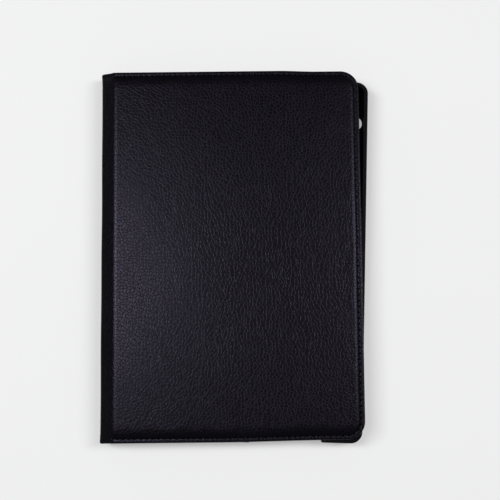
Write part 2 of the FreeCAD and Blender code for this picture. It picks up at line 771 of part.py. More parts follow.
def main():
    doc = FreeCAD.newDocument("tablet_case")
    add_dimensions(doc)
    rear = [make_rear_skin(doc), make_holder_board(doc), make_leg_board(doc),
            make_rear_lining(doc), make_base_ring(doc)]
    swivel = [make_hub(doc), make_retainer(doc), make_washer(doc), make_cap_board(doc),
              make_cap_skin(doc), make_hub_screws(doc), make_retainer_screws(doc)]
    tray = [make_tray_skin(doc), make_tray_shell(doc), make_tray_lining(doc)]
    spine = [make_spine_sheet(doc, "spine_skin", "", "leather"),
             make_spine_sheet(doc, "spine_lining", "leather", "lining")]
    cover = [make_front_skin(doc), make_front_foam(doc), make_front_board(doc),
             make_front_lining(doc), make_magnets(doc), make_ridges(doc)]
    turn_with_tray(swivel, 0.0)
    turn_with_tray(tray, DIMENSIONS["tray_drop"])
    parts = rear + swivel + tray + spine + cover
    check_document(doc, parts)
    os.makedirs("parts", exist_ok=True)
    for part in parts:
        part.Shape.exportStep("parts/%s.step" % part.Label)
        print("%-20s %10.1f mm3" % (part.Label, part.Shape.Volume))


main()
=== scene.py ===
import math
import random

import bmesh
import bpy
from mathutils import Matrix, Vector


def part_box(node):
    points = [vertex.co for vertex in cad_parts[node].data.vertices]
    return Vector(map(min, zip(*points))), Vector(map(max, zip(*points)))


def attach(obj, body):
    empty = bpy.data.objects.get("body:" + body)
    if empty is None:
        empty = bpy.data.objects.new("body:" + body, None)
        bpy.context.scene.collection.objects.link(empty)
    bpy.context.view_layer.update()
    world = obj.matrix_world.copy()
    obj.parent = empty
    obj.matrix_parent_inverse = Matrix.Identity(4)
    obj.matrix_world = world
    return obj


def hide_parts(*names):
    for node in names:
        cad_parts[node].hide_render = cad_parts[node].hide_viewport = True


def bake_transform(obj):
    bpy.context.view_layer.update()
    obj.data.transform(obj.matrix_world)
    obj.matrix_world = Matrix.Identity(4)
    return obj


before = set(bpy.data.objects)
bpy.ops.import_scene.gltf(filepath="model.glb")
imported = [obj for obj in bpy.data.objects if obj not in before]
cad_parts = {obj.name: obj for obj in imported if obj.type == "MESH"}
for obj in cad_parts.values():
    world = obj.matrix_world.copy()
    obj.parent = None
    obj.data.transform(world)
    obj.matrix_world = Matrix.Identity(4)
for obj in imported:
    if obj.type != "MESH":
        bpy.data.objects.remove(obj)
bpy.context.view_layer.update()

# ------------------------ places read from the frame (metres)

FRONT_LOW, FRONT_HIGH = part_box("front_skin")
SPINE_LOW, SPINE_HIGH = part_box("spine_skin")
FRONT_BOARD_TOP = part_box("front_board")[1].z
REAR_BOARD_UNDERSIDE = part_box("rear_leg_board")[0].z
REAR_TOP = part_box("rear_skin")[1].z
CAP_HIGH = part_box("disc_cap_skin")[1]

LEFT = FRONT_LOW.x
RIGHT = FRONT_HIGH.x
HALF_LENGTH = FRONT_HIGH.y
CAP_RADIUS = CAP_HIGH.x

# ------------------------ sizes of the leather work (metres)

PANEL_CORNER = 0.0125
LEATHER = 0.0009  # thickness of the leather
LINING = 0.0006  # thickness of the spine's lining
TURNED_EDGE = 0.0012  # from the outline in to the board
EDGE_CHAMFER = 0.0001  # on the inner edge of the turned leather
RIM_WIDTH = 0.0009  # the leather's rolled rim: how far in it starts to curl
RIM_DEPTH = 0.00055  # and how far it has curled at the outline
RIM_STEPS = (0.0, 0.00008, 0.00025, 0.0005, RIM_WIDTH)

STITCH_INSET = 0.0028
STITCH_PITCH = 0.0040
STITCH_LENGTH = 0.0023
STITCH_START = LEFT + 0.002  # the seams end this close to the fold
STITCH_SKEW = 0.05  # each stitch may lie this much askew, as a slope
STITCH_SPREAD = (0.93, 1.05)  # and be this much shorter or longer
STITCH_SEED = 3
THREAD = 0.00042  # radius of the thread
THREAD_SIDES = 8
THREAD_FLATNESS = 1.15  # the thread is this much wider than high
STITCH_HEIGHT = 0.9  # of the stitch's middle, and its fall to the ends, in thread radii
STITCH_ARCH = 9.0
# A stitch's sections: share of its length from its middle, share of the thread's radius.
STITCH_SECTIONS = ((-0.5, 0.45), (-0.4, 0.9), (-0.2, 1.0), (0.0, 1.04), (0.2, 1.0), (0.4, 0.9),
                   (0.5, 0.45))

TINY = 1e-6  # lengths under this count as nothing
CREASE_ANGLE = math.radians(50)
UP = Vector((0, 0, 1))
DOWN = Vector((0, 0, -1))


# ------------------------ small tools

def link(piece):
    bpy.context.scene.collection.objects.link(piece)
    return piece


def new_piece(name, bm, smooth=True):
    """Object from a bmesh, shaded smooth, with its normals facing out."""
    bmesh.ops.recalc_face_normals(bm, faces=bm.faces)
    for face in bm.faces:
        face.smooth = smooth
    mesh = bpy.data.meshes.new(name)
    bm.to_mesh(mesh)
    bm.free()
    return link(bpy.data.objects.new(name, mesh))


def bridge(bm, first, second):
    """Faces between two rings of as many points."""
    for i in range(len(first)):
        j = (i + 1) % len(first)
        bm.faces.new((first[i], first[j], second[j], second[i]))


def apply_modifiers(piece):
    """Bake a piece's modifiers into its mesh."""
    graph = bpy.context.evaluated_depsgraph_get()
    mesh = bpy.data.meshes.new_from_object(piece.evaluated_get(graph))
    piece.modifiers.clear()
    piece.data = mesh


def keep_creases(piece):
    """Faces that meet steeply keep a crisp line between them."""
    piece.data.set_sharp_from_angle(angle=CREASE_ANGLE)


def smoothstep(value):
    """Smooth rise from 0 to 1 as value goes from 0 to 1, level outside that."""
    value = min(1.0, max(0.0, value))
    return value * value * (3 - 2 * value)


def hump(distance, width):
    """1 at distance 0, falling smoothly to 0 at width."""
    if abs(distance) >= width:
        return 0.0
    return 0.5 + 0.5 * math.cos(math.pi * distance / width)


def edge_steps(reach, fine):
    """Distances in from an edge: tight over its rolled rim, then even as far as reach."""
    count = round((reach - RIM_WIDTH) / fine)
    even = [RIM_WIDTH + (reach - RIM_WIDTH) * (i + 1) / count for i in range(count)]
    return list(RIM_STEPS) + even


def between(start, end, step):
    """Even positions strictly between start and end."""
    count = max(1, round((end - start) / step))
    return [start + (end - start) * i / count for i in range(1, count)]


def wave(x, y, size, seed):
    """Slow, smooth unevenness between -1 and 1."""
    a = math.sin(x / size * 1.7 + seed) * math.cos(y / size * 1.3 - 2.1 * seed)
    b = math.sin((x + 0.6 * y) / size * 0.9 + 1.9 * seed)
    return 0.6 * a + 0.4 * b


# ------------------------ the panels' outline

def right_reach(y):
    """How far right the panel's outline reaches at a place along its length."""
    up = max(0.0, abs(y) - (HALF_LENGTH - PANEL_CORNER))
    return RIGHT - PANEL_CORNER + math.sqrt(max(0.0, PANEL_CORNER * PANEL_CORNER - up * up))


def edge_distance(x, y):
    """Distance in from the panel's top, bottom and closing edges, round its corners."""
    right = RIGHT - x
    end = HALF_LENGTH - abs(y)
    if right < PANEL_CORNER and end < PANEL_CORNER:
        return PANEL_CORNER - math.hypot(PANEL_CORNER - right, PANEL_CORNER - end)
    return min(right, end)


def panel_route(inset, spacing, left):
    """Points and directions round the panel at inset: top edge, closing edge, bottom edge."""
    radius = PANEL_CORNER - inset
    across = RIGHT - inset - radius
    up = HALF_LENGTH - inset - radius
    quarter = math.pi / 2 * radius
    runs = [across - left, quarter, 2 * up, quarter, across - left]
    starts = [(left, up), (across, up), (across, up), (across, -up), (across, -up)]
    total = sum(runs)
    count = int(total / spacing)
    for index in range(count):
        along = (index + 0.5) * total / count
        run = 0
        while along >= runs[run]:
            along -= runs[run]
            run += 1
        straight = run % 2 == 0
        turn = math.pi / 2 * (1 - run // 2) - (0 if straight else along / radius)
        out = Vector((math.cos(turn), math.sin(turn), 0))
        direction = Vector((out.y, -out.x, 0))
        start = Vector((*starts[run], 0))
        yield start + radius * out + direction * (along if straight else 0), direction


# ------------------------ the panels' leather

EDGE_BAND = 0.0105  # width of the finely divided strip along a panel's edges
EDGE_FINENESS = 0.00042
ROW_STEP = 0.0017
MIDDLE_COLUMNS = 84
HINGE_COLUMNS = 13
HINGE_STEP = 0.0004

BOW = 0.0006  # the closing edge lies this much further right at its top
BOW_SET_BACK = 0.0002  # than at its bottom, where it lies this far in
BOW_START = -0.09
BOW_LENGTH = 0.12
EDGE_RIPPLE = 0.0001
EDGE_RIPPLE_SIZE = 0.017
WANDER_REACH = 0.02  # how far in from the closing edge the leather follows it

LOW_END_RISE = 0.0009  # how short the cover is at its lower closing corner
LOW_END_START = -0.012
LOW_END_RUN = 0.070
HIGH_END_DROP = 0.0008  # and at its upper one
HIGH_END_RUN = RIGHT / 3


def inward(x, y):
    """Direction from a point on the panel's outline straight in; the hinge side stays put."""
    across = RIGHT - PANEL_CORNER
    up = HALF_LENGTH - PANEL_CORNER
    if x > across and abs(y) > up:
        return Vector((across - x, math.copysign(up, y) - y, 0)).normalized()
    if abs(y) > HALF_LENGTH - TINY:
        return Vector((0, -math.copysign(1, y), 0))
    if x < LEFT + TINY:
        return Vector()
    return Vector((-1, 0, 0))


def edge_wander(x, y):
    """The closing edge isn't quite straight: how far the leather near it lies to the right."""
    bow = BOW * smoothstep((y - BOW_START) / BOW_LENGTH) - BOW_SET_BACK
    ripple = EDGE_RIPPLE * wave(0, y, EDGE_RIPPLE_SIZE, 5.0)
    return (bow + ripple) * smoothstep(1 - (RIGHT - x) / WANDER_REACH)


def straight_end(x, y):
    """The rear panel's leather keeps its plain length everywhere."""
    return 0.0


def skewed_end(x, y):
    """The cover is a little short towards both closing corners: how far its leather moves along y."""
    low = LOW_END_RISE * smoothstep((x - LOW_END_START) / LOW_END_RUN) * smoothstep(-y / HALF_LENGTH)
    high = HIGH_END_DROP * smoothstep(x / HIGH_END_RUN - 1) * smoothstep(y / HALF_LENGTH)
    return low - high


def rows_along(band, fine, step):
    """Places along y for a mesh: step apart, and finer in a band at either end."""
    low = [inset - HALF_LENGTH for inset in edge_steps(band, fine)]
    return low + between(low[-1], -low[-1], step) + [-y for y in reversed(low)]


def panel_columns(reach):
    """Places across a panel, from its hinge side to reach, closest together at both of them."""
    hinge = [LEFT + HINGE_STEP * i for i in range(HINGE_COLUMNS)]
    closing = [reach - step for step in reversed(edge_steps(EDGE_BAND, EDGE_FINENESS))]
    gap = closing[0] - hinge[-1]
    middle = [hinge[-1] + gap * i / MIDDLE_COLUMNS for i in range(1, MIDDLE_COLUMNS)]
    return hinge + middle + closing


def side_points(section, z):
    """A rim's (inset, height) pairs, their heights measured from z."""
    return [(inset, z + height) for inset, height in section]


def well_wall(face, board):
    """The end of a rim: a chamfer on the turned leather's inner edge, then straight to the board."""
    chamfer = math.copysign(EDGE_CHAMFER, board - face)
    return [(TURNED_EDGE - EDGE_CHAMFER, face), (TURNED_EDGE, face + chamfer), (TURNED_EDGE, board)]


def panel_solid(name, height, rim, lift):
    """Leather round a panel: a shaped face z = height(x, y), a rim through the (inset, z) pairs
    that rim names, and the flat bottom of the well that it leaves for the board.

    lift(x, y) is how far the leather's points are moved along y.
    """
    bm = bmesh.new()
    grid = []
    rows = rows_along(EDGE_BAND, EDGE_FINENESS, ROW_STEP)
    for y in rows:
        line = []
        for x in panel_columns(right_reach(y)):
            line.append(bm.verts.new((x + edge_wander(x, y), y + lift(x, y), height(x, y))))
        grid.append(line)
    for lower, upper in zip(grid, grid[1:]):
        for i in range(len(lower) - 1):
            bm.faces.new((lower[i], lower[i + 1], upper[i + 1], upper[i]))
    outline = grid[0] + [line[-1] for line in grid[1:]] + list(reversed(grid[-1][:-1]))
    outline += [line[0] for line in reversed(grid[1:-1])]
    ring = outline
    hinge_side = {line[0] for line in grid[1:-1]}
    closing = {line[-1]: y for line, y in zip(grid, rows)}
    for inset, z in rim:
        following = []
        for vert in outline:
            spot = vert.co.copy()
            if vert not in hinge_side:
                y = closing.get(vert, math.copysign(HALF_LENGTH, vert.co.y))
                x = vert.co.x - edge_wander(vert.co.x, y) if vert in closing else vert.co.x
                spot += inward(x, y) * inset
            following.append(bm.verts.new((spot.x, spot.y, z)))
        bridge(bm, ring, following)
        ring = following
    bm.faces.new(ring)
    piece = new_piece(name, bm)
    keep_creases(piece)
    return piece


# ------------------------ mesh makers

FLAT_ANGLE = math.radians(0.6)  # faces that meet flatter than this become one
EDGE_ANGLE = math.radians(35)  # edges sharper than this are rounded
RELIEF_STEP = 0.0045
LIP_SIDES = 10


def cut_away(piece, cutters):
    """Take the cutters' shapes out of a piece and delete them."""
    for cutter in cutters:
        modifier = piece.modifiers.new("cut", "BOOLEAN")
        modifier.object = cutter
        modifier.operation = "DIFFERENCE"
        modifier.solver = "EXACT"
    apply_modifiers(piece)
    for cutter in cutters:
        bpy.data.objects.remove(cutter)


def prism(name, outline, low, high):
    """Upright solid on a closed outline of (x, y) pairs."""
    bm = bmesh.new()
    bottom = [bm.verts.new((x, y, low)) for x, y in outline]
    top = [bm.verts.new((x, y, high)) for x, y in outline]
    bm.faces.new(list(reversed(bottom)))
    bm.faces.new(top)
    bridge(bm, bottom, top)
    return new_piece(name, bm, smooth=False)


def turned(name, profile, steps):
    """Closed solid of revolution about the z axis on (radius, z) pairs."""
    bm = bmesh.new()
    rings = []
    for step in range(steps):
        turn = 2 * math.pi * step / steps
        rings.append([bm.verts.new((r * math.cos(turn), r * math.sin(turn), z)) for r, z in profile])
    for first, second in zip(rings, rings[1:] + rings[:1]):
        for i in range(len(profile) - 1):
            bm.faces.new((first[i], first[i + 1], second[i + 1], second[i]))
    bm.faces.new([ring[0] for ring in rings])
    bm.faces.new([ring[-1] for ring in rings])
    piece = new_piece(name, bm)
    keep_creases(piece)
    return piece


def tube(name, path, radius):
    """Round lip of leather along a path; closed if the path ends where it starts."""
    points = [Vector(point) for point in path]
    closed = (points[0] - points[-1]).length < TINY
    if closed:
        points.pop()
    bm = bmesh.new()
    rings = []
    for index, point in enumerate(points):
        after = points[(index + 1) % len(points)] if closed or index < len(points) - 1 else point
        before = points[index - 1] if closed or index else point
        side = UP.cross((after - before).normalized())
        ring = []
        for step in range(LIP_SIDES):
            turn = 2 * math.pi * step / LIP_SIDES
            offset = side * math.cos(turn) + UP * math.sin(turn)
            ring.append(bm.verts.new(point + offset * radius))
        rings.append(ring)
    for first, second in zip(rings, rings[1:] + rings[:1] if closed else rings[1:]):
        bridge(bm, first, second)
    if not closed:
        bm.faces.new(rings[0])
        bm.faces.new(rings[-1])
    return new_piece(name, bm)


def arc(centre, radius, start, end, steps):
    """Points on an arc from start to end, in degrees."""
    points = []
    for index in range(steps + 1):
        turn = math.radians(start + (end - start) * index / steps)
        points.append((centre[0] + radius * math.cos(turn), centre[1] + radius * math.sin(turn)))
    return points


def softened_copy(node, name, radius, material, relief=None):
    """Piece of a node's own shape with edges rounded to radius, which stands for the node.

    relief(x, y) is how far a soft piece's points lie above their plain places.
    """
    bm = bmesh.new()
    bm.from_mesh(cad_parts[node].data)
    bm.transform(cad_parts[node].matrix_world)
    bmesh.ops.remove_doubles(bm, verts=bm.verts, dist=TINY)
    bmesh.ops.dissolve_limit(bm, angle_limit=FLAT_ANGLE, verts=bm.verts, edges=bm.edges)
    edges = [e for e in bm.edges if e.is_manifold and e.calc_face_angle() > EDGE_ANGLE]
    bmesh.ops.bevel(bm, geom=edges, offset=radius, segments=3, profile=0.5, affect="EDGES",
                    clamp_overlap=True)
    bmesh.ops.remove_doubles(bm, verts=bm.verts, dist=2 * TINY)
    if relief:
        slice_finely(bm, RELIEF_STEP)
        for vert in bm.verts:
            vert.co.z += relief(vert.co.x, vert.co.y)
    piece = new_piece(name, bm)
    piece.modifiers.new("weighted", "WEIGHTED_NORMAL").keep_sharp = True
    apply_modifiers(piece)
    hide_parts(node)
    return dress(piece, material)


def slice_finely(bm, step):
    """Cut a mesh along a grid, so that its flat faces can swell and sag."""
    for axis in (Vector((1, 0, 0)), Vector((0, 1, 0))):
        reaches = [vert.co.dot(axis) for vert in bm.verts]
        for place in between(min(reaches), max(reaches), step):
            everything = bm.verts[:] + bm.edges[:] + bm.faces[:]
            bmesh.ops.bisect_plane(bm, geom=everything, dist=TINY / 10, plane_co=axis * place,
                                   plane_no=axis)


def thread_stitch(bm, middle, direction, up, source):
    """One stitch: a short thread, higher in its middle, its ends pulled down into the leather."""
    skew = source.uniform(-STITCH_SKEW, STITCH_SKEW)
    direction = (direction + up.cross(direction) * skew).normalized()
    side = up.cross(direction)
    length = STITCH_LENGTH * source.uniform(*STITCH_SPREAD)
    rings = []
    for share, swell in STITCH_SECTIONS:
        lift = THREAD * (STITCH_HEIGHT - STITCH_ARCH * share * share)
        centre = middle + direction * length * share + up * lift
        ring = []
        for step in range(THREAD_SIDES):
            turn = 2 * math.pi * step / THREAD_SIDES
            offset = side * math.cos(turn) * THREAD_FLATNESS + up * math.sin(turn)
            ring.append(bm.verts.new(centre + offset * THREAD * swell))
        rings.append(ring)
    for first, second in zip(rings, rings[1:]):
        bridge(bm, first, second)
    bm.faces.new(rings[0])
    bm.faces.new(rings[-1])


def stitch_row(name, spots, up):
    """A row of stitches at (point, direction) pairs, standing up out of the leather."""
    source = random.Random(STITCH_SEED)
    bm = bmesh.new()
    for point, direction in spots:
        thread_stitch(bm, point, direction, up, source)
    return new_piece(name, bm)


# ------------------------ materials

class Shader:
    """A node material, with short calls for the nodes that the finishes share."""

    def __init__(self, name):
        self.material = bpy.data.materials.new(name)
        self.material.use_nodes = True
        self.nodes = self.material.node_tree.nodes
        self.links = self.material.node_tree.links
        self.shader = self.nodes["Principled BSDF"]

    def node(self, kind, **settings):
        made = self.nodes.new(kind)
        for key, value in settings.items():
            setattr(made, key, value)
        return made

    def join(self, start, end):
        self.links.new(start, end)

    def place(self, uv_name=None):
        """Texture place in metres: a UV map for pieces that bend, else the piece's own space."""
        if uv_name:
            return self.node("ShaderNodeUVMap", uv_map=uv_name).outputs["UV"]
        return self.node("ShaderNodeTexCoord").outputs["Object"]

    def noise(self, place, scale, detail=3.0, roughness=0.55):
        made = self.node("ShaderNodeTexNoise")
        made.inputs["Scale"].default_value = scale
        made.inputs["Detail"].default_value = detail
        made.inputs["Roughness"].default_value = roughness
        self.join(place, made.inputs["Vector"])
        return made

    def ramp(self, value, stops):
        """Colour ramp; stops are (position, grey or colour)."""
        made = self.node("ShaderNodeValToRGB")
        elements = made.color_ramp.elements
        while len(elements) < len(stops):
            elements.new(0.5)
        for element, (position, colour) in zip(elements, stops):
            element.position = position
            if isinstance(colour, (int, float)):
                colour = (colour, colour, colour)
            element.color = (*colour, 1.0)
        self.join(value, made.inputs["Fac"])
        return made.outputs["Color"]

    def math(self, operation, first, second):
        made = self.node("ShaderNodeMath", operation=operation)
        for socket, value in zip(made.inputs, (first, second)):
            if isinstance(value, (int, float)):
                socket.default_value = value
            else:
                self.join(value, socket)
        return made.outputs["Value"]

    def shifted(self, place, noise, amount):
        """The place moved about by a noise's colour."""
        centred = self.node("ShaderNodeVectorMath", operation="SUBTRACT")
        self.join(noise.outputs["Color"], centred.inputs[0])
        centred.inputs[1].default_value = (0.5, 0.5, 0.5)
        scaled = self.node("ShaderNodeVectorMath", operation="SCALE")
        self.join(centred.outputs["Vector"], scaled.inputs[0])
        scaled.inputs["Scale"].default_value = amount
        added = self.node("ShaderNodeVectorMath", operation="ADD")
        self.join(place, added.inputs[0])
        self.join(scaled.outputs["Vector"], added.inputs[1])
        return added.outputs["Vector"]

    def bump(self, height, distance):
        """Relief of the surface; distance is how deep it goes, in metres."""
        made = self.node("ShaderNodeBump")
        made.inputs["Distance"].default_value = distance
        made.inputs["Strength"].default_value = 1.0
        self.join(height, made.inputs["Height"])
        return made.outputs["Normal"]


GRAIN_SIZE = 0.0022  # of the leather's pebbles, metres
GRAIN_RELIEF = 0.00005
# Painted shade: the creases are coloured darker than the pebbles, standing in for the shade that falls
# in them.
PAINTED_CREASE_SHADE = (0.0004, 0.0003, 0.0005)
GRAIN_COLOUR = (0.0015, 0.0012, 0.0021)
GRAIN_GLOSS = (0.26, 0.32)  # roughness of the tops of the pebbles


def leather_finish(name, uv_name=None):
    """Pebbled imitation leather: rounded grains of uneven size between fine creases, which are darkened
    with painted shade.
    """
    s = Shader(name)
    place = s.place(uv_name)
    drift = s.noise(place, 160.0, 2.0)
    moved = s.shifted(place, drift, GRAIN_SIZE * 0.9)
    pebble = s.node("ShaderNodeTexVoronoi", feature="DISTANCE_TO_EDGE")
    pebble.inputs["Scale"].default_value = 1.0 / GRAIN_SIZE
    pebble.inputs["Randomness"].default_value = 0.92
    s.join(moved, pebble.inputs["Vector"])
    small = s.node("ShaderNodeTexVoronoi", feature="SMOOTH_F1")
    small.inputs["Scale"].default_value = 2.3 / GRAIN_SIZE
    s.join(moved, small.inputs["Vector"])
    grain = s.ramp(pebble.outputs["Distance"], [(0.0, 0.0), (0.06, 0.5), (0.16, 0.9), (0.38, 1.0)])
    fine = s.noise(place, 2600.0, 3.0, 0.7)
    height = s.math("ADD", grain, s.math("MULTIPLY", small.outputs["Distance"], -0.07))
    height = s.math("ADD", height, s.math("MULTIPLY", fine.outputs["Fac"], 0.015))
    s.join(s.bump(height, GRAIN_RELIEF), s.shader.inputs["Normal"])
    patches = s.noise(place, 38.0, 4.0)
    # The colour mixes painted shade in the creases with random patches of the leather's own tone.
    crease_shade_and_tone = s.node("ShaderNodeMix", data_type="RGBA")
    s.join(s.math("MULTIPLY", grain, patches.outputs["Fac"]), crease_shade_and_tone.inputs["Factor"])
    crease_shade_and_tone.inputs["A"].default_value = (*PAINTED_CREASE_SHADE, 1.0)
    crease_shade_and_tone.inputs["B"].default_value = (*GRAIN_COLOUR, 1.0)
    s.join(crease_shade_and_tone.outputs["Result"], s.shader.inputs["Base Color"])
    worn = s.math("ADD", s.math("MULTIPLY", grain, -0.8), patches.outputs["Fac"])
    rough = s.ramp(worn, [(0.0, GRAIN_GLOSS[0]), (0.15, GRAIN_GLOSS[1]), (0.7, 0.38)])
    s.join(rough, s.shader.inputs["Roughness"])
    s.shader.inputs["Specular IOR Level"].default_value = 0.15
    s.shader.inputs["Specular Tint"].default_value = (0.80, 0.73, 1.0, 1.0)
    return s.material


def shades(tone, *factors):
    """The tone made darker or lighter by each factor."""
    return [tuple(channel * factor for channel in tone) for factor in factors]


NAP_TONE = (0.010, 0.010, 0.0115)


def microfibre_finish(name):
    """Short brushed nap: fine mottling and a soft sheen."""
    s = Shader(name)
    place = s.place()
    nap = s.noise(place, 2100.0, 4.0, 0.7)
    strokes = s.noise(place, 90.0, 3.0)
    mixed = s.math("ADD", s.math("MULTIPLY", nap.outputs["Fac"], 0.6),
                   s.math("MULTIPLY", strokes.outputs["Fac"], 0.6))
    darker, lighter = shades(NAP_TONE, 0.55, 1.7)
    s.join(s.ramp(mixed, [(0.30, darker), (0.85, lighter)]), s.shader.inputs["Base Color"])
    s.join(s.ramp(nap.outputs["Fac"], [(0.2, 0.82), (0.8, 0.98)]), s.shader.inputs["Roughness"])
    s.join(s.bump(nap.outputs["Fac"], 0.00012), s.shader.inputs["Normal"])
    s.shader.inputs["Specular IOR Level"].default_value = 0.15
    s.shader.inputs["Sheen Weight"].default_value = 0.12
    s.shader.inputs["Sheen Roughness"].default_value = 0.5
    return s.material


def plastic_finish(name, tone, gloss, texture=900.0, relief=0.00003):
    """Moulded plastic with a fine sparked texture and faint flow marks.

    texture is how fine the sparking is, and relief how deep, in metres.
    """
    s = Shader(name)
    place = s.place()
    fine = s.noise(place, texture, 4.0, 0.65)
    flow = s.noise(place, 45.0, 3.0)
    darker, lighter = shades(tone, 0.78, 1.22)
    s.join(s.ramp(flow.outputs["Fac"], [(0.25, darker), (0.75, lighter)]),
           s.shader.inputs["Base Color"])
    mixed = s.math("ADD", s.math("MULTIPLY", fine.outputs["Fac"], 0.5),
                   s.math("MULTIPLY", flow.outputs["Fac"], 0.5))
    s.join(s.ramp(mixed, [(0.2, gloss - 0.07), (0.8, gloss + 0.08)]), s.shader.inputs["Roughness"])
    s.join(s.bump(fine.outputs["Fac"], relief), s.shader.inputs["Normal"])
    s.shader.inputs["Specular IOR Level"].default_value = 0.055
    s.shader.inputs["Specular Tint"].default_value = (0.88, 0.83, 1.0, 1.0)
    return s.material


THREAD_TONE = (0.0005, 0.0005, 0.0006)


def thread_finish(name):
    """Twisted thread: a slanting ply along each stitch."""
    s = Shader(name)
    place = s.place()
    ply = s.node("ShaderNodeTexWave", wave_type="BANDS", bands_direction="DIAGONAL")
    ply.inputs["Scale"].default_value = 620.0
    ply.inputs["Distortion"].default_value = 1.2
    s.join(place, ply.inputs["Vector"])
    darker, lighter = shades(THREAD_TONE, 1.0, 2.6)
    s.join(s.ramp(ply.outputs["Fac"], [(0.1, darker), (0.9, lighter)]), s.shader.inputs["Base Color"])
    fuzz = s.noise(place, 3000.0, 2.0)
    s.join(s.ramp(fuzz.outputs["Fac"], [(0.2, 0.45), (0.8, 0.7)]), s.shader.inputs["Roughness"])
    s.join(s.bump(ply.outputs["Fac"], 0.00008), s.shader.inputs["Normal"])
    s.shader.inputs["Specular IOR Level"].default_value = 0.02
    return s.material


def board_finish(name):
    """Grey compressed board: flecks and short fibres."""
    s = Shader(name)
    place = s.place()
    flecks = s.noise(place, 700.0, 5.0, 0.75)
    cloud = s.noise(place, 60.0, 2.0)
    mixed = s.math("ADD", s.math("MULTIPLY", flecks.outputs["Fac"], 0.7),
                   s.math("MULTIPLY", cloud.outputs["Fac"], 0.3))
    s.join(s.ramp(mixed, [(0.30, (0.20, 0.17, 0.13)), (0.52, (0.33, 0.29, 0.23)),
                          (0.72, (0.42, 0.38, 0.31))]), s.shader.inputs["Base Color"])
    s.join(s.ramp(flecks.outputs["Fac"], [(0.2, 0.8), (0.8, 0.95)]), s.shader.inputs["Roughness"])
    s.join(s.bump(flecks.outputs["Fac"], 0.00008), s.shader.inputs["Normal"])
    return s.material


def metal_finish(name, tone, gloss):
    """Plated metal with slight stains; gloss is the roughness of its clean places."""
    s = Shader(name)
    place = s.place()
    stain = s.noise(place, 500.0, 3.0)
    darker, lighter = shades(tone, 0.75, 1.0)
    s.join(s.ramp(stain.outputs["Fac"], [(0.3, darker), (0.7, lighter)]), s.shader.inputs["Base Color"])
    s.join(s.ramp(stain.outputs["Fac"], [(0.2, gloss), (0.8, gloss + 0.15)]),
           s.shader.inputs["Roughness"])
    s.join(s.bump(stain.outputs["Fac"], 0.00002), s.shader.inputs["Normal"])
    s.shader.inputs["Metallic"].default_value = 1.0
    return s.material


def table_finish(name):
    """Matt white table top with barely visible clouding, which gives a little light of its own."""
    s = Shader(name)
    place = s.place()
    cloud = s.noise(place, 3.0, 3.0)
    s.join(s.ramp(cloud.outputs["Fac"], [(0.2, (0.50, 0.50, 0.495)), (0.8, (0.52, 0.52, 0.515))]),
           s.shader.inputs["Base Color"])
    s.shader.inputs["Emission Color"].default_value = (1.0, 1.0, 1.0, 1.0)
    s.shader.inputs["Emission Strength"].default_value = 0.34
    s.shader.inputs["Roughness"].default_value = 0.75
    s.shader.inputs["Specular IOR Level"].default_value = 0.2
    return s.material


def dress(piece, material):
    """Give a piece its only material, and the material slot that it belongs to."""
    piece.data.materials.clear()
    piece.data.materials.append(material)
    return piece


# ------------------------ front cover

BORDER_Z = FRONT_HIGH.z - 0.0013  # the flat turned edge, below the padding's crown
CROWN_END = 0.009  # the padding rises over this width at the panel's ends
CROWN_SIDE = 0.0038  # and over this width at its closing edge
CROWN_STEEPNESS = 2.5
CROWN_ROOM = 0.0001  # left above the crown for its unevenness
HINGE_SLOPE = 0.0037
HINGE_DROP = 0.0011

GROOVE_DEPTH = 0.00014
GROOVE_WIDTH = 0.0008
FRONT_UNEVENNESS = 0.00009
FRONT_WAVE = 0.021
LEVEL_EDGE = 0.02  # unevenness grows over this distance in from the outline
PULL_DEPTH = 0.00006  # small puckers that the stitches pull into the padding
PULL_WAVE = 0.0052
PULL_INSET = 0.0075
PULL_WIDTH = 0.004
FRONT_STITCH_SINK = 0.00008

# The turned edge's section: distance in from the outline, and height from the end of the rolled rim
# or from the inner face.
FRONT_SIDE = ((-0.0001, -0.0005), (-0.00008, -0.0012))
FRONT_INNER_CORNER = ((0.0, 0.0006), (0.00015, 0.0002), (0.0004, 0.0))


def padded_rise(distance, width):
    """Share of the padding's height at a distance in from the stitches: steep, then level."""
    return 1 - (1 - min(1.0, max(0.0, distance / width))) ** CROWN_STEEPNESS


def hinge_drop(x):
    """The leather dives off the board's hinge side towards the spine."""
    return HINGE_DROP * max(0.0, 1 - (x - LEFT) / HINGE_SLOPE) ** 2


def rolled_rim(inset):
    """How far the leather has curled away from its face, close to its edge."""
    return RIM_DEPTH * (1 - math.sqrt(max(0.0, 1 - max(0.0, 1 - inset / RIM_WIDTH) ** 2)))


def front_height(x, y):
    """Height of the cover's leather: flat turned edge, stitched groove, padded crown."""
    inset = edge_distance(x, y)
    side_rise = padded_rise(RIGHT - x - STITCH_INSET, CROWN_SIDE)
    end_rise = padded_rise(HALF_LENGTH - abs(y) - STITCH_INSET, CROWN_END)
    corner_rise = padded_rise(inset - STITCH_INSET, CROWN_SIDE)
    crown = (FRONT_HIGH.z - BORDER_Z - CROWN_ROOM) * min(side_rise * end_rise, corner_rise)
    groove = GROOVE_DEPTH * hump(inset - STITCH_INSET, GROOVE_WIDTH)
    uneven = FRONT_UNEVENNESS * wave(x, y, FRONT_WAVE, 1.0) * smoothstep(inset / LEVEL_EDGE)
    pull = PULL_DEPTH * wave(x, y, PULL_WAVE, 2.0) * hump(inset - PULL_INSET, PULL_WIDTH)
    return BORDER_Z + crown - groove - rolled_rim(inset) - hinge_drop(x) + uneven + pull


def make_front_leather():
    rim = side_points(FRONT_SIDE, BORDER_Z - RIM_DEPTH)
    rim += side_points(FRONT_INNER_CORNER, FRONT_LOW.z)
    rim += well_wall(FRONT_LOW.z, FRONT_BOARD_TOP)
    piece = panel_solid("front_leather", front_height, rim, skewed_end)
    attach(piece, "front_cover")
    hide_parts("front_skin", "front_foam")
    return dress(piece, MATERIALS["leather"])


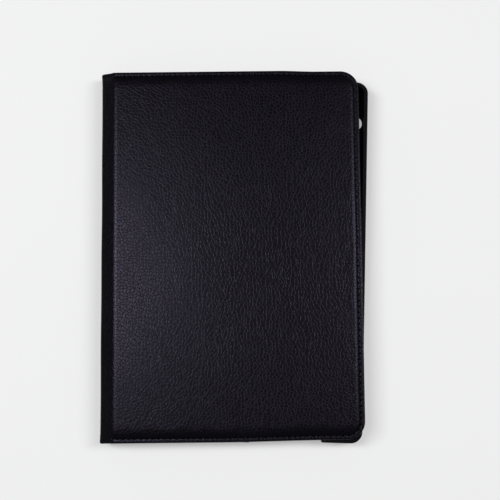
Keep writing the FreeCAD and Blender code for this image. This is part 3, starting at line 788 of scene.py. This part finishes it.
def make_front_stitches():
    """The seam round three sides of the cover, as it shows outside and inside."""
    outside = []
    inside = []
    for point, direction in panel_route(STITCH_INSET, STITCH_PITCH, STITCH_START):
        y = point.y + skewed_end(point.x, point.y)
        face = front_height(point.x, point.y) - FRONT_STITCH_SINK
        outside.append((Vector((point.x, y, face)), direction))
        inside.append((Vector((point.x, y, FRONT_LOW.z)), direction))
    for name, spots, up in (("front_stitches", outside, UP), ("inner_stitches", inside, DOWN)):
        piece = stitch_row(name, spots, up)
        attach(piece, "front_cover")
        dress(piece, MATERIALS["thread"])


# ------------------------ rear panel

RING_SEAM = CAP_RADIUS + 0.0065  # radius of the half-round seam that holds the swivel's ring
RING_SEAM_DEPTH = 0.00032
RING_SEAM_START = 0.002  # the seam's groove starts this far from the crease
RING_SEAM_STITCHES = 0.004  # and its stitches this far
REAR_GROOVE_DEPTH = 0.00035
REAR_GROOVE_WIDTH = 0.0009
REAR_STITCH_SINK = 0.00012
REAR_CROWN = 0.0003  # the outer face curves up this much towards its edges
REAR_CROWN_WIDTH = 0.008
REAR_UNEVENNESS = 0.00007
REAR_WAVE = 0.024
CREASE_WIDTH = 0.0024  # the stand's crease, across the middle of the panel
CREASE_DEPTH = 0.00045
CREASE_STEEPNESS = 1.25

SLIT_INNER = 0.0386  # a narrow slit half round the swivel
SLIT_OUTER = 0.0393
SLIT_TURN = (92, 268)  # degrees
CAP_GAP = 0.0005  # between the cap and the hole that it fills
CAMERA_HOLE = (0.0788, 0.0970)
NOTCH_RADIUS = 0.009
NOTCH_OPEN_END = 0.004  # the notch's cutter reaches this far past the closing edge
NOTCH_STITCH_GAP = 0.0015  # the seam stops this far from the notch
CUTTER_REACH = 0.01  # cutters stand this far out of the leather
HOLE_SIDES = 96

SWIVEL_MOUTH = CAP_RADIUS + 0.00065
NOTCH_MOUTH = NOTCH_RADIUS + 0.0001
LIP_END = RIGHT - 0.0004  # the notch's lips end just inside the closing edge
SWIVEL_LIP = (0.0004, 0.00038)  # height and radius of each turned lip
NOTCH_LIP = (0.0005, 0.00048)
NOTCH_INNER_LIP = (0.0032, 0.00040)

# The turned edge's section: distance in from the outline, and height from the rest plane or from
# the inner face.
REAR_SIDE = ((-0.0001, 0.0014), (-0.0001, 0.0024))
REAR_INNER_CORNER = ((0.00005, -0.0004), (0.00025, -0.0001), (0.0005, 0.0))


def rear_height(x, y):
    """Height of the rear leather's outer face, which looks down: 0 where it rests."""
    inset = edge_distance(x, y)
    groove = REAR_GROOVE_DEPTH * hump(inset - STITCH_INSET, REAR_GROOVE_WIDTH)
    seam = RING_SEAM_DEPTH * hump(math.hypot(x, y) - RING_SEAM, REAR_GROOVE_WIDTH)
    seam *= smoothstep((x - RING_SEAM_START) / RING_SEAM_START)
    crease = CREASE_DEPTH * smoothstep(CREASE_STEEPNESS * (1 - abs(x) / CREASE_WIDTH))
    crown = REAR_CROWN * (1 - smoothstep(inset / REAR_CROWN_WIDTH))
    uneven = REAR_UNEVENNESS * (1 + wave(x, y, REAR_WAVE, 4.0)) * smoothstep(inset / LEVEL_EDGE)
    return groove + seam + crease + crown + hinge_drop(x) / 2 + uneven + rolled_rim(inset)


def ring_sector(inner, outer, turn, steps):
    """Outline of part of a ring about the swivel's axis, between the two angles in turn."""
    start, end = turn
    return arc((0, 0), outer, start, end, steps) + arc((0, 0), inner, end, start, steps)


def notch_outline(radius):
    """U-shape round the camera, open towards the closing edge."""
    past = RIGHT + NOTCH_OPEN_END
    up = CAMERA_HOLE[1]
    return [(past, up + radius)] + arc(CAMERA_HOLE, radius, 90, 270, 32) + [(past, up - radius)]


def make_rear_leather():
    rim = side_points(REAR_SIDE, 0.0)
    rim += side_points(REAR_INNER_CORNER, REAR_TOP)
    rim += well_wall(REAR_TOP, REAR_BOARD_UNDERSIDE)
    piece = panel_solid("rear_leather", rear_height, rim, straight_end)
    round_hole = arc((0, 0), CAP_RADIUS + CAP_GAP, 0, 360 - 360 / HOLE_SIDES, HOLE_SIDES - 1)
    half_ring = ring_sector(SLIT_INNER, SLIT_OUTER, SLIT_TURN, 72)
    cap_hole = prism("cap_cutter", round_hole, -CUTTER_REACH, CUTTER_REACH)
    slit = prism("slit_cutter", half_ring, -CUTTER_REACH, LEATHER / 2)
    notch = prism("notch_cutter", notch_outline(NOTCH_RADIUS), -CUTTER_REACH, CUTTER_REACH)
    cut_away(piece, [cap_hole, slit, notch])
    keep_creases(piece)
    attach(piece, "rear_panel")
    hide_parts("rear_skin")
    return dress(piece, MATERIALS["leather"])


def make_rear_edges():
    """Turned leather lips round the swivel's hole and the camera notch."""
    z, radius = SWIVEL_LIP
    mouth = [(x, y, z) for x, y in arc((0, 0), SWIVEL_MOUTH, 0, 360, 120)]
    swivel_lip = tube("swivel_lip", mouth, radius)
    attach(swivel_lip, "rear_panel")
    dress(swivel_lip, MATERIALS["leather"])
    for name, (z, radius) in (("notch_lip", NOTCH_LIP), ("notch_inner_lip", NOTCH_INNER_LIP)):
        path = [(min(x, LIP_END), y, z) for x, y in notch_outline(NOTCH_MOUTH)]
        lip = tube(name, path, radius)
        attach(lip, "rear_panel")
        dress(lip, MATERIALS["leather"])


def near_notch(point):
    """Whether a stitch at this point would lie over the camera's notch."""
    across = point.x > CAMERA_HOLE[0] - NOTCH_RADIUS
    return across and abs(point.y - CAMERA_HOLE[1]) < NOTCH_RADIUS + NOTCH_STITCH_GAP


def make_rear_stitches():
    """The seam round three sides of the rear panel, and the half-round one at the swivel's ring."""
    outside = []
    inside = []
    for point, direction in panel_route(STITCH_INSET, STITCH_PITCH, STITCH_START):
        if near_notch(point):
            continue
        face = rear_height(point.x, point.y) + REAR_STITCH_SINK
        outside.append((Vector((point.x, point.y, face)), direction))
        inside.append((Vector((point.x, point.y, REAR_TOP)), direction))
    count = round(math.pi * RING_SEAM / STITCH_PITCH)
    for index in range(1, count):
        turn = math.pi * (index / count - 0.5)
        place = RING_SEAM * Vector((math.cos(turn), math.sin(turn), 0))
        if place.x < RING_SEAM_STITCHES:
            continue
        place.z = rear_height(place.x, place.y) + REAR_STITCH_SINK
        outside.append((place, Vector((-math.sin(turn), math.cos(turn), 0))))
    for name, spots, up in (("rear_stitches", outside, DOWN), ("rear_inner_stitches", inside, UP)):
        piece = stitch_row(name, spots, up)
        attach(piece, "rear_panel")
        dress(piece, MATERIALS["thread"])


CAP_SEAM = CAP_RADIUS - STITCH_INSET
CAP_SEAM_DEPTH = 0.00025
CAP_CROWN = 0.0001
CAP_STITCH_SINK = 0.0001
CAP_MIDDLE = 0.0002  # radius of the flat patch at the cap's centre
CAP_RINGS = 20
CAP_RING_STEP = 0.0015
CAP_EDGE_BAND = 0.0048
CAP_EDGE_FINENESS = 0.0003
CAP_SIDES = 144
CAP_SIDE_START = 0.00066  # where the rolled rim passes into the cap's side

# The end of the cap's section: distance in from its rim, and height from its inner face.
CAP_INNER_CORNER = ((0.00012, -0.00002), (0.0004, 0.0))


def cap_height(radius):
    """The cap's outer face: it rests at its middle and rolls up at its rim."""
    inset = CAP_RADIUS - radius
    seam = CAP_SEAM_DEPTH * hump(inset - STITCH_INSET, GROOVE_WIDTH)
    return CAP_CROWN * (radius / CAP_RADIUS) ** 2 + seam + rolled_rim(inset)


def make_cap():
    """Leather disc glued over the swivel's underside, stitched round its rim."""
    radii = [CAP_MIDDLE] + [CAP_RING_STEP * i for i in range(1, CAP_RINGS)]
    radii += [CAP_RADIUS - step for step in reversed(edge_steps(CAP_EDGE_BAND, CAP_EDGE_FINENESS))]
    profile = [(radius, cap_height(radius)) for radius in radii]
    profile.append((CAP_RADIUS, CAP_SIDE_START))
    profile += [(CAP_RADIUS - inset, z) for inset, z in side_points(CAP_INNER_CORNER, CAP_HIGH.z)]
    profile.append((CAP_MIDDLE, CAP_HIGH.z))
    piece = turned("cap_leather", profile, CAP_SIDES)
    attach(piece, "tray")
    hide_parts("disc_cap_skin")
    dress(piece, MATERIALS["leather"])
    count = round(2 * math.pi * CAP_SEAM / STITCH_PITCH)
    spots = []
    for index in range(count):
        turn = 2 * math.pi * index / count
        spot = Vector((math.cos(turn), math.sin(turn), 0))
        place = spot * CAP_SEAM + UP * (cap_height(CAP_SEAM) + CAP_STITCH_SINK)
        spots.append((place, Vector((-spot.y, spot.x, 0))))
    stitches = stitch_row("cap_stitches", spots, DOWN)
    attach(stitches, "tray")
    dress(stitches, MATERIALS["thread"])


# ------------------------ spine

SPINE_MEET = (SPINE_LOW.z + SPINE_HIGH.z) / 2
SPINE_SLANT = math.radians(33)
SPINE_TURN = 0.0014  # the leather starts to turn this far before the stiffener's corner
SPINE_TURN_STEPS = 9
SPINE_ENDS = 0.012  # width of the finely divided strip at the spine's ends
SPINE_END_FINENESS = 0.0006
SPINE_ROW_STEP = 0.003
LINING_SET_BACK = 0.0012  # the lining is this much shorter at each end

END_CURL = 0.0003  # the ends are turned in, so their inner side is shorter
END_SWELL = 0.00055  # the turned ends are thicker, so they bulge
END_SWELL_WIDTH = 0.009
END_CORNER = 0.0011  # and are rounded off by this much
END_CORNER_LENGTH = 0.0014
SPINE_OVERHANG = 0.0005  # the spine is this much longer than the panels at each end
SPINE_RIPPLE = 0.00012
SPINE_RIPPLE_SIZE = 0.013
GRAIN_SHIFT = 0.5  # sets the two halves' grain apart


def rounded_corner(before, corner, after, reach, steps):
    """Points of the path before, corner, after, with the corner rounded off from reach before it."""
    corner = Vector(corner)
    start = corner + (Vector(before) - corner).normalized() * reach
    end = corner + (Vector(after) - corner).normalized() * reach
    path = [before]
    for index in range(steps + 1):
        share = index / steps
        near = start.lerp(corner, share)
        far = corner.lerp(end, share)
        path.append(tuple(near.lerp(far, share)))
    return path + [after]


def spine_section(edge_z, sense):
    """Outer section from a panel's hinge side to the middle of the spine.

    The leather runs straight from the board's edge to the stiffener's corner, and turns there.
    """
    outside = SPINE_LOW.x
    corner_z = edge_z - sense * (LEFT - outside) * math.tan(SPINE_SLANT)
    return rounded_corner((LEFT, edge_z), (outside, corner_z), (outside, SPINE_MEET), SPINE_TURN,
                          SPINE_TURN_STEPS)


def offset_path(points, distance):
    """The path moved sideways by distance, to the right of its direction."""
    moved = []
    for index, (x, z) in enumerate(points):
        before = points[max(0, index - 1)]
        after = points[min(len(points) - 1, index + 1)]
        along = Vector((after[0] - before[0], after[1] - before[1])).normalized()
        moved.append((x + along.y * distance, z - along.x * distance))
    return moved


def spine_sheet(name, height, sense, depth, thickness, material_name):
    """Half of the spine's cover, from one panel's hinge side to the middle of the spine.

    sense is 1 at the front cover and -1 at the rear panel; depth is how far inside the
    spine's outside this sheet lies.
    """
    bm = bmesh.new()
    uv_layer = bm.loops.layers.uv.new("leather")
    loops = []
    set_back = LINING_SET_BACK if depth else 0.0
    for y in rows_along(SPINE_ENDS, SPINE_END_FINENESS, SPINE_ROW_STEP):
        end = HALF_LENGTH - abs(y)
        section = spine_section(height(LEFT, y), sense)
        outer = offset_path(section, -sense * depth)
        inner = offset_path(section, -sense * (depth + thickness))
        curl = END_CURL * hump(end, RIM_WIDTH)
        corner = END_CORNER * (1 - math.sqrt(1 - max(0.0, 1 - end / END_CORNER_LENGTH) ** 2))
        loop = []
        for place, (x, z) in enumerate(outer + inner[::-1]):
            inside = place >= len(outer)
            share = smoothstep((LEFT - x) / (LEFT - SPINE_LOW.x))
            swell = END_SWELL * share * hump(end, END_SWELL_WIDTH)
            ripple = SPINE_RIPPLE * wave(z, y, SPINE_RIPPLE_SIZE, 3.0) * share
            reach = HALF_LENGTH - set_back - (curl if inside else 0) + SPINE_OVERHANG * share
            across = x - swell + ripple + corner * share
            loop.append(bm.verts.new((across, y * reach / HALF_LENGTH, z)))
        loops.append(loop)
    travel = [0.0]
    for first, second in zip(section, section[1:]):
        travel.append(travel[-1] + math.hypot(second[0] - first[0], second[1] - first[1]))
    travel += travel[::-1]
    lengths = {vert: along for loop in loops for vert, along in zip(loop, travel)}
    for first, second in zip(loops, loops[1:]):
        bridge(bm, first, second)
    half = len(loops[0]) // 2
    for loop in (loops[0], loops[-1]):
        for i in range(half - 1):
            bm.faces.new((loop[i], loop[i + 1], loop[-2 - i], loop[-1 - i]))
    for face in bm.faces:
        for corner in face.loops:
            corner[uv_layer].uv = (lengths[corner.vert] + GRAIN_SHIFT * sense, corner.vert.co.y)
    piece = new_piece(name, bm)
    keep_creases(piece)
    return dress(piece, MATERIALS[material_name])


def bend_with_rear(piece):
    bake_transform(piece)


def bend_with_front(piece):
    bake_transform(piece)


def make_spine():
    """Leather and lining of the spine, each in two halves that meet at the spine's middle."""
    rear = spine_sheet("spine_rear_leather", rear_height, -1, 0, LEATHER, "bent_leather")
    front = spine_sheet("spine_front_leather", front_height, 1, 0, LEATHER, "bent_leather")
    rear_lining = spine_sheet("spine_rear_lining", rear_height, -1, LEATHER, LINING,
                              "bent_lining")
    front_lining = spine_sheet("spine_front_lining", front_height, 1, LEATHER, LINING,
                               "bent_lining")
    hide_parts("spine_skin")
    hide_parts("spine_lining")
    for piece in (rear, rear_lining):
        bend_with_rear(piece)
    for piece in (front, front_lining):
        bend_with_front(piece)


# ------------------------ tray, linings and ridges

TRAY_ROUNDING = 0.00028
LINING_ROUNDING = 0.0002
RIDGE_ROUNDING = 0.0007
SAG = 0.00006
SAG_WAVE = 0.019


def soft_sag(x, y):
    """Slight unevenness of a glued lining."""
    return SAG * wave(x, y, SAG_WAVE, 6.0)


def make_tray():
    skin = softened_copy("tray_skin", "tray_leather", TRAY_ROUNDING, MATERIALS["leather"])
    shell = softened_copy("tray_shell", "tray_plastic", TRAY_ROUNDING, MATERIALS["shell"])
    lining = softened_copy("tray_lining", "tray_velvet", LINING_ROUNDING,
                           MATERIALS["lining"], soft_sag)
    for piece in (skin, shell, lining):
        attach(piece, "tray")


def make_linings():
    """Linings of both panels, and the ridges under the front one that prop the tray."""
    rear = softened_copy("rear_lining", "rear_velvet", LINING_ROUNDING,
                         MATERIALS["lining"], soft_sag)
    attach(rear, "rear_panel")
    front = softened_copy("front_lining", "front_velvet", LINING_ROUNDING,
                          MATERIALS["lining"], soft_sag)
    ridges = softened_copy("stand_ridges", "velvet_ridges", RIDGE_ROUNDING,
                           MATERIALS["lining"], soft_sag)
    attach(front, "front_cover")
    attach(ridges, "front_cover")


NODE_FINISHES = {
    "rear_holder_board": "board",
    "rear_leg_board": "board",
    "disc_cap_board": "board",
    "front_board": "board",
    "swivel_base_ring": "swivel",
    "swivel_hub": "swivel",
    "swivel_retainer": "swivel",
    "friction_washer": "washer",
    "hub_screws": "steel",
    "retainer_screws": "steel",
    "cover_magnets": "nickel",
}


def finish_nodes():
    """Better finishes for the CAD parts that keep their own shape."""
    for node, finish in NODE_FINISHES.items():
        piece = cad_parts[node]
        for index in range(len(piece.material_slots)):
            piece.material_slots[index].material = MATERIALS[finish]


# ------------------------ the finishes
# Plastics: colour, roughness, fineness and depth of the texture. Metals: colour, roughness.

MATERIALS = {
    "leather": leather_finish("pebbled_leather"),
    "bent_leather": leather_finish("spine_leather", "leather"),
    "lining": microfibre_finish("microfibre"),
    "bent_lining": microfibre_finish("spine_microfibre"),
    "thread": thread_finish("thread"),
    "board": board_finish("grey_board"),
    "shell": plastic_finish("shell_plastic", (0.0022, 0.0020, 0.0026), 0.42),
    "swivel": plastic_finish("swivel_plastic", (0.016, 0.016, 0.017), 0.38, 1400.0, 0.00002),
    "washer": plastic_finish("nylon", (0.55, 0.54, 0.50), 0.42, 500.0, 0.00001),
    "steel": metal_finish("zinc_plated_steel", (0.58, 0.58, 0.56), 0.28),
    "nickel": metal_finish("nickel_plate", (0.62, 0.60, 0.56), 0.20),
}


# ------------------------ stage, light and camera

FLOOR_HALF_WIDTH = 6.0


def make_floor():
    bm = bmesh.new()
    bmesh.ops.create_grid(bm, x_segments=8, y_segments=8, size=FLOOR_HALF_WIDTH)
    floor = new_piece("floor", bm, smooth=False)
    floor.data.materials.append(table_finish("table_top"))


def area_light(name, place, size, power, colour):
    """Rectangular softbox that faces the origin; power is in watts."""
    data = bpy.data.lights.new(name, "AREA")
    data.shape = "RECTANGLE"
    data.size = size[0]
    data.size_y = size[1]
    data.energy = power
    data.color = colour
    light = link(bpy.data.objects.new(name, data))
    light.location = place
    light.rotation_euler = (-Vector(place)).to_track_quat("-Z", "Y").to_euler()


def make_lights():
    """A softbox on either side of the case, and a dim room round it."""
    area_light("left_softbox", place=(-0.69, 0.16, 1.44), size=(0.32, 0.85), power=15.4,
               colour=(0.98, 0.98, 1.0))
    area_light("right_softbox", place=(0.80, 0.16, 1.38), size=(0.30, 0.80), power=10.6,
               colour=(1, 1, 1))
    world = bpy.data.worlds.new("room")
    world.use_nodes = True
    background = world.node_tree.nodes["Background"]
    background.inputs["Color"].default_value = (0.97, 0.98, 1.0, 1)
    background.inputs["Strength"].default_value = 0.20
    bpy.context.scene.world = world


CAMERA_DISTANCE = 0.70
CAMERA_TILT = math.radians(6.7)
CAMERA_ROLL = math.radians(0.62)
CAMERA_AIM = Vector((0.0070, 0.0029, 0.012))
CAMERA_LENS = 72.2  # millimetres
SENSOR_WIDTH = 36.0


def make_camera():
    """The camera looks down at the case, a little from its lower end."""
    data = bpy.data.cameras.new("camera")
    data.sensor_width = SENSOR_WIDTH
    data.lens = CAMERA_LENS
    camera = link(bpy.data.objects.new("camera", data))
    back = Vector((0, -math.sin(CAMERA_TILT), math.cos(CAMERA_TILT)))
    camera.location = CAMERA_AIM + back * CAMERA_DISTANCE
    look = (-back).to_track_quat("-Z", "Y").to_matrix()
    roll = Matrix.Rotation(-CAMERA_ROLL, 3, "Z")
    camera.rotation_euler = (look @ roll).to_euler()
    bpy.context.scene.camera = camera


def make_all():
    """The stage, then the case from its outside in."""
    make_floor()
    make_lights()
    make_camera()
    make_front_leather()
    make_front_stitches()
    make_rear_leather()
    make_rear_edges()
    make_rear_stitches()
    make_cap()
    make_spine()
    make_tray()
    make_linings()
    finish_nodes()
    bpy.context.scene.view_settings.view_transform = "Standard"


make_all()
